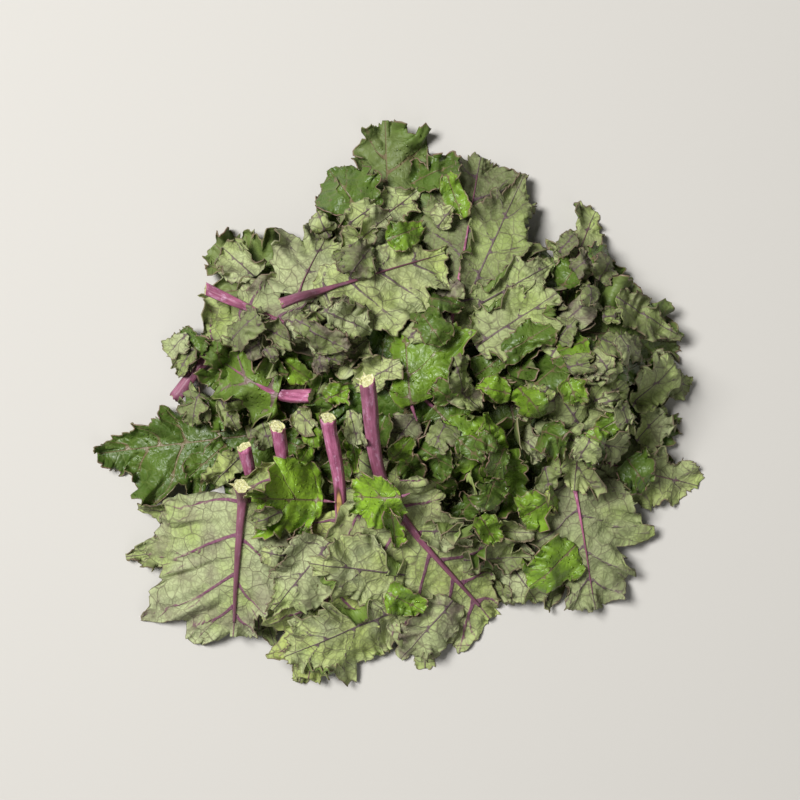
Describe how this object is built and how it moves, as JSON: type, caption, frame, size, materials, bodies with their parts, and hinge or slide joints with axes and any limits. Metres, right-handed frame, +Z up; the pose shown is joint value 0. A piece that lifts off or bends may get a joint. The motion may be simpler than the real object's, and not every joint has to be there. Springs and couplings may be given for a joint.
{
  "type": "purple kale bunch",
  "caption": "Loose heap of cut purple kale leaves lying down, ruffled lobed blades with their backs or faces up and thick purple stalks that run on as midribs.",
  "frame": {"origin": "on the table, under the middle of the heap's footprint", "axes": "+Z up, +Y towards the top of the heap as seen from above, +X to its right"},
  "size_m": [0.3502, 0.326, 0.109],
  "materials": {
    "blade_back": "matt, waxy",
    "blade_face": "satin, waxy",
    "stem": "satin"
  },
  "bodies": {
    "root": {"leaf_01_blade": "blade_back", "leaf_01_stem": "stem", "leaf_02_blade": "blade_face", "leaf_02_stem": "stem", "leaf_03_blade": "blade_back", "leaf_03_stem": "stem", "leaf_04_blade": "blade_back", "leaf_04_stem": "stem", "leaf_05_blade": "blade_face", "leaf_05_stem": "stem", "leaf_06_blade": "blade_face", "leaf_06_stem": "stem", "leaf_07_blade": "blade_face", "leaf_07_stem": "stem", "leaf_08_blade": "blade_face", "leaf_08_stem": "stem", "leaf_09_blade": "blade_face", "leaf_09_stem": "stem", "leaf_10_blade": "blade_back", "leaf_10_stem": "stem", "leaf_11_blade": "blade_back", "leaf_11_stem": "stem", "leaf_12_blade": "blade_face", "leaf_12_stem": "stem", "leaf_13_blade": "blade_back", "leaf_13_stem": "stem", "leaf_14_blade": "blade_back", "leaf_14_stem": "stem", "leaf_15_blade": "blade_back", "leaf_15_stem": "stem", "leaf_16_blade": "blade_face", "leaf_16_stem": "stem", "leaf_17_blade": "blade_back", "leaf_17_stem": "stem", "leaf_18_blade": "blade_face", "leaf_18_stem": "stem", "leaf_19_blade": "blade_back", "leaf_19_stem": "stem", "leaf_20_blade": "blade_back", "leaf_20_stem": "stem", "leaf_21_blade": "blade_face", "leaf_21_stem": "stem", "leaf_22_blade": "blade_back", "leaf_22_stem": "stem", "leaf_23_blade": "blade_back", "leaf_23_stem": "stem", "leaf_24_blade": "blade_back", "leaf_24_stem": "stem", "leaf_25_blade": "blade_back", "leaf_25_stem": "stem", "leaf_26_blade": "blade_back", "leaf_26_stem": "stem", "leaf_27_blade": "blade_back", "leaf_27_stem": "stem", "leaf_28_blade": "blade_back", "leaf_28_stem": "stem", "leaf_29_blade": "blade_face", "leaf_29_stem": "stem", "leaf_30_blade": "blade_face", "leaf_30_stem": "stem"}
  },
  "joints": []
}
